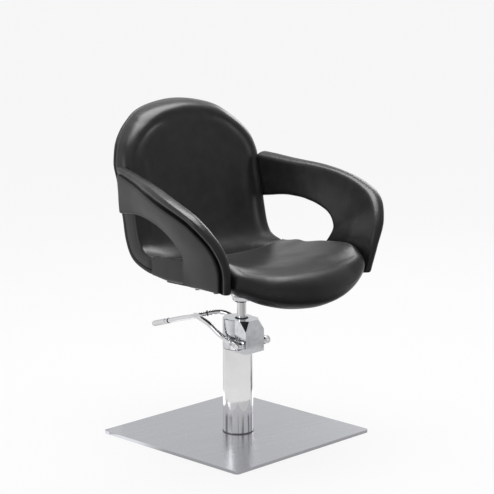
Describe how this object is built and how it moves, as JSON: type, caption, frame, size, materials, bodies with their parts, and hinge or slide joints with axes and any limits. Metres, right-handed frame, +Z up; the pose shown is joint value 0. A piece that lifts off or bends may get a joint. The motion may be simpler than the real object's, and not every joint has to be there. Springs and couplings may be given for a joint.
{
  "type": "hydraulic styling chair",
  "caption": "Padded tub chair with open arms on a lever-pumped hydraulic column; it swivels, rises and falls, and stands on a square floor plate.",
  "frame": {"origin": "on the floor, under the swivel and lift axis", "axes": "+Z up along the swivel axis; the seat faces -Y and +X is at the sitter's left hand; the floor plate stands turned 10 degrees about Z against the seat"},
  "size_m": [0.61, 0.6655, 0.8641],
  "materials": {
    "black_leather": "satin black synthetic leather, fine grain",
    "black_shell_leather": "satin black synthetic leather stretched over the shell",
    "brushed_steel": "brushed stainless steel",
    "polished_chrome": "polished chrome plate",
    "cast_metal": "bare cast metal, satin",
    "dark_trim": "dark rubber and seal trim",
    "black_board": "plywood painted black"
  },
  "bodies": {
    "base": {"floor_plate": "brushed_steel", "column_foot_ring": "dark_trim", "column_cover_tube": "polished_chrome", "pump_cylinder": "cast_metal", "pump_flange_screw_1": "brushed_steel", "pump_flange_screw_2": "brushed_steel", "pump_flange_screw_3": "brushed_steel", "pump_flange_screw_4": "brushed_steel", "pump_head": "polished_chrome", "piston_gland": "dark_trim"},
    "pedal": {"foot_lever_fork": "polished_chrome", "foot_lever_tip_sleeve": "polished_chrome", "foot_lever_ring_front": "dark_trim", "foot_lever_ring_rear": "dark_trim", "lever_axle": "brushed_steel", "axle_cap_left": "polished_chrome", "axle_knob_right": "polished_chrome", "pump_cam": "brushed_steel"},
    "plunger": {"pump_plunger": "brushed_steel"},
    "lift": {"piston_rod": "polished_chrome", "piston_ring": "brushed_steel"},
    "seat": {"swivel_hub": "cast_metal", "mounting_plate": "brushed_steel", "mounting_bolt_1": "brushed_steel", "mounting_bolt_2": "brushed_steel", "mounting_bolt_3": "brushed_steel", "mounting_bolt_4": "brushed_steel", "seat_board": "black_board", "seat_cushion": "black_leather", "backrest_cushion": "black_leather", "backrest_rear_panel": "black_shell_leather", "left_arm_pad": "black_leather", "left_arm_outer_panel": "black_shell_leather", "right_arm_pad": "black_leather", "right_arm_outer_panel": "black_shell_leather"}
  },
  "joints": [
    {"name": "seat_lift", "type": "slide", "parent": "base", "child": "lift", "axis": [0, 0, 1], "range_m": [0, 0.13]},
    {"name": "seat_swivel", "type": "hinge", "parent": "lift", "child": "seat", "pos_m": [0, 0, 0.38], "axis": [0, 0, 1], "continuous": true},
    {"name": "pedal_pivot", "type": "hinge", "parent": "base", "child": "pedal", "pos_m": [0.0063, -0.03575, 0.2555], "axis": [-0.9848, -0.1736, 0], "range_deg": [0, 20], "stiffness_Nm_per_rad": 12, "springref_deg": -22.92},
    {"name": "plunger_slide", "type": "slide", "parent": "base", "child": "plunger", "axis": [0, 0, 1], "range_m": [0, 0.0022]}
  ],
  "couplings": [
    {"joint": "plunger_slide", "follows": "pedal_pivot", "m_per_rad": 0.0058}
  ]
}
